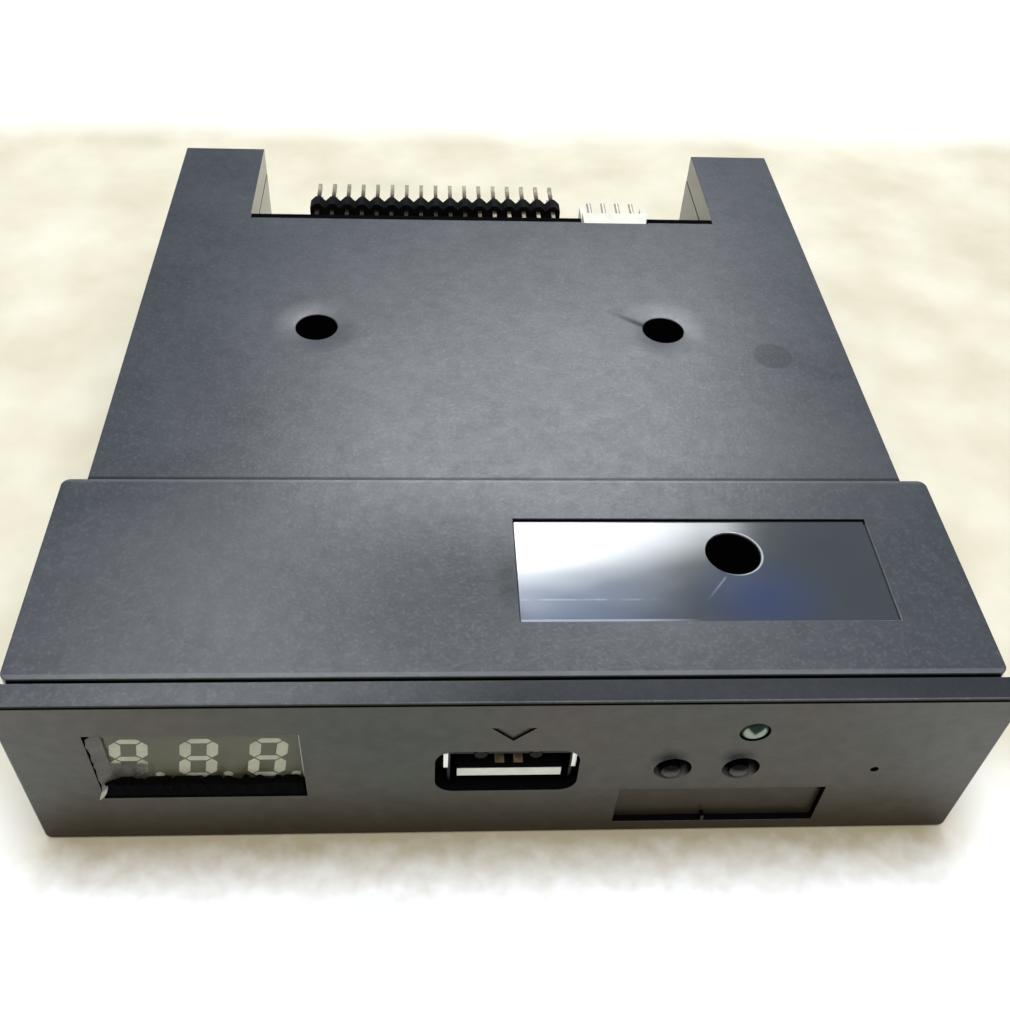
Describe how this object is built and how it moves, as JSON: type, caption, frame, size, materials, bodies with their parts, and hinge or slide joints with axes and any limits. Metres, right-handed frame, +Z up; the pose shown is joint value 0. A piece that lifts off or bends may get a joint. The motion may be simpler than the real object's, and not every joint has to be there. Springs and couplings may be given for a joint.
{
  "type": "floppy drive emulator",
  "caption": "Slim grey drive case that takes a USB stick in place of floppy disks, with a digit display, push buttons and a lamp in front and pin connectors behind.",
  "frame": {"origin": "on the floor under the middle of the part's bounding box", "axes": "+X to the right seen from the front, +Y from the front panel to the connectors at the back, +Z up"},
  "size_m": [0.1016, 0.1188, 0.0254],
  "materials": {
    "case_plastic": "fine spark-eroded grain, dark grey",
    "button_plastic": "smooth matte grey",
    "black_plastic": "smooth matte black",
    "chip_resin": "fine matte moulding resin",
    "white_plastic": "satin white nylon",
    "board_laminate": "green solder resist on glass laminate",
    "display_resin": "grey-olive printed face",
    "segment_resin": "milky unlit resin",
    "clear_film": "thin hazy protective film",
    "black_felt": "black felt strip",
    "label_film": "glossy dark film",
    "lamp_resin": "tinted translucent resin",
    "steel": "bright plated sheet and screws",
    "tinned_leads": "bright tin over copper alloy",
    "gilt_contacts": "thin gold over copper alloy",
    "can_aluminium": "drawn bare can",
    "wire_sheath": "soft matte sheath",
    "ceramic": "fired ceramic with tinned ends"
  },
  "bodies": {
    "case": {"lower_shell": "case_plastic", "upper_shell": "case_plastic", "case_screws": "steel", "label_film": "label_film", "display_body": "display_resin", "display_segments": "segment_resin", "display_pins": "tinned_leads", "display_film": "clear_film", "display_seal": "black_felt", "display_board": "board_laminate", "display_driver": "chip_resin", "display_driver_leads": "tinned_leads", "display_board_socket": "white_plastic", "main_board_socket": "white_plastic", "lead_plugs": "white_plastic", "display_lead": "wire_sheath", "usb_shell": "steel", "usb_insulator": "white_plastic", "usb_contacts": "gilt_contacts", "switch_cases": "black_plastic", "switch_brackets": "steel", "switch_domes": "steel", "led_lens": "lamp_resin", "led_wires": "tinned_leads", "led_holder": "black_plastic", "main_board": "board_laminate", "controller": "chip_resin", "controller_leads": "tinned_leads", "buffer_chip": "chip_resin", "buffer_leads": "tinned_leads", "crystal": "steel", "regulator": "chip_resin", "regulator_leads": "tinned_leads", "capacitor_cans": "can_aluminium", "capacitor_bases": "black_plastic", "chip_parts": "ceramic", "data_header_block": "black_plastic", "data_header_pins": "tinned_leads", "power_socket": "white_plastic", "power_pins": "tinned_leads", "jumper_block": "black_plastic", "jumper_pins": "tinned_leads", "jumper_caps": "black_plastic"},
    "left_plunger": {"left_button": "button_plastic"},
    "right_plunger": {"right_button": "button_plastic"}
  },
  "joints": [
    {"name": "left_button_press", "type": "slide", "parent": "case", "child": "left_plunger", "axis": [0, 1, 0], "range_m": [0, 0.00025], "stiffness_N_per_m": 3000, "springref_m": -0.0003},
    {"name": "right_button_press", "type": "slide", "parent": "case", "child": "right_plunger", "axis": [0, 1, 0], "range_m": [0, 0.00025], "stiffness_N_per_m": 3000, "springref_m": -0.0003}
  ]
}
